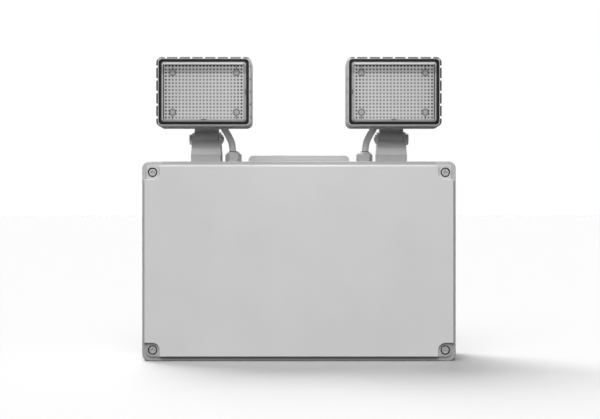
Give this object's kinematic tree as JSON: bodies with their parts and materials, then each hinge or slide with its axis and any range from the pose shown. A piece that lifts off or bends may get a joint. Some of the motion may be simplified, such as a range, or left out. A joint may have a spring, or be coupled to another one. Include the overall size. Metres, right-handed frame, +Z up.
{
  "type": "emergency light",
  "caption": "Flat wall box on which square lamp heads with prismatic lenses turn and tilt on short forked arms, each fed by a lead through a gland.",
  "frame": {"origin": "centre of the flat underside of the box, halfway between its back and its front", "axes": "+X to the right seen from the front, +Y to the wall behind, +Z up; the cover and the lenses face -Y"},
  "size_m": [0.3045, 0.0932, 0.2905],
  "materials": {
    "white_housing": "satin",
    "grey_fitting": "satin",
    "grey_casting": "satin",
    "black_rubber": "matte",
    "grey_rubber": "matte",
    "screw_steel": "zinc plated",
    "bolt_steel": "zinc plated",
    "zinc_sheet": "zinc coated sheet",
    "battery_case": "matte",
    "circuit_board": "satin",
    "natural_nylon": "satin",
    "laminated_steel": "varnished",
    "capacitor_sleeve": "gloss",
    "relay_case": "matte",
    "terminal_green": "satin",
    "terminal_grey": "satin",
    "black_plastic": "satin",
    "button_red": "gloss",
    "indicator_green": "gloss",
    "lead_sheath": "matte",
    "clear_plastic": "clear, prismatic inside",
    "reflector_white": "gloss",
    "lamp_board_white": "satin",
    "lamp_lens": "gloss"
  },
  "bodies": {
    "box": {"box_back": "white_housing", "front_cover": "white_housing", "cover_seal": "black_rubber", "cover_screws": "screw_steel", "blanking_plug": "white_housing", "gear_tray": "zinc_sheet", "tray_screws": "screw_steel", "battery": "battery_case", "battery_strap": "zinc_sheet", "control_board": "circuit_board", "board_spacers": "natural_nylon", "mains_transformer": "laminated_steel", "capacitors": "capacitor_sleeve", "relay": "relay_case", "output_terminal": "terminal_green", "terminal_block": "terminal_grey", "button_housing": "black_plastic", "button_nut": "black_plastic", "charge_indicator": "indicator_green", "foot_gasket_left": "black_rubber", "swivel_foot_left": "grey_fitting", "foot_screws_left": "screw_steel", "gland_body_left": "grey_fitting", "gland_nut_left": "grey_fitting", "gland_seal_left": "grey_rubber", "gland_locknut_left": "grey_fitting", "head_lead_left": "lead_sheath", "foot_gasket_right": "black_rubber", "swivel_foot_right": "grey_fitting", "foot_screws_right": "screw_steel", "gland_body_right": "grey_fitting", "gland_nut_right": "grey_fitting", "gland_seal_right": "grey_rubber", "gland_locknut_right": "grey_fitting", "head_lead_right": "lead_sheath"},
    "button": {"test_button": "button_red"},
    "left_arm": {"yoke_left": "grey_fitting", "swivel_nut_left": "bolt_steel", "tilt_bolt_left": "bolt_steel", "tilt_nut_left": "bolt_steel"},
    "left_head": {"head_housing_left": "grey_casting", "lens_gasket_left": "grey_rubber", "lens_left": "clear_plastic", "reflector_left": "reflector_white", "lamp_board_left": "lamp_board_white", "lamps_left": "lamp_lens", "board_screws_left": "screw_steel", "lead_bush_left": "lead_sheath"},
    "right_arm": {"yoke_right": "grey_fitting", "swivel_nut_right": "bolt_steel", "tilt_bolt_right": "bolt_steel", "tilt_nut_right": "bolt_steel"},
    "right_head": {"head_housing_right": "grey_casting", "lens_gasket_right": "grey_rubber", "lens_right": "clear_plastic", "reflector_right": "reflector_white", "lamp_board_right": "lamp_board_white", "lamps_right": "lamp_lens", "board_screws_right": "screw_steel", "lead_bush_right": "lead_sheath"}
  },
  "joints": [
    {"name": "left_swivel", "type": "hinge", "parent": "box", "child": "left_arm", "pos_m": [-0.0907, 0, 0.1983], "axis": [0, 0, 1], "range_deg": [-30, 30], "deforming": ["head_lead_left"]},
    {"name": "left_tilt", "type": "hinge", "parent": "left_arm", "child": "left_head", "pos_m": [-0.0907, 0, 0.2143], "axis": [1, 0, 0], "range_deg": [-30, 30], "deforming": ["head_lead_left"]},
    {"name": "right_swivel", "type": "hinge", "parent": "box", "child": "right_arm", "pos_m": [0.0907, 0, 0.1983], "axis": [0, 0, 1], "range_deg": [-30, 30], "deforming": ["head_lead_right"]},
    {"name": "right_tilt", "type": "hinge", "parent": "right_arm", "child": "right_head", "pos_m": [0.0907, 0, 0.2143], "axis": [1, 0, 0], "range_deg": [-30, 30], "deforming": ["head_lead_right"]},
    {"name": "test_button_press", "type": "slide", "parent": "box", "child": "button", "axis": [-1, 0, 0], "range_m": [0, 0.0015], "stiffness_N_per_m": 400, "springref_m": -0.002}
  ]
}
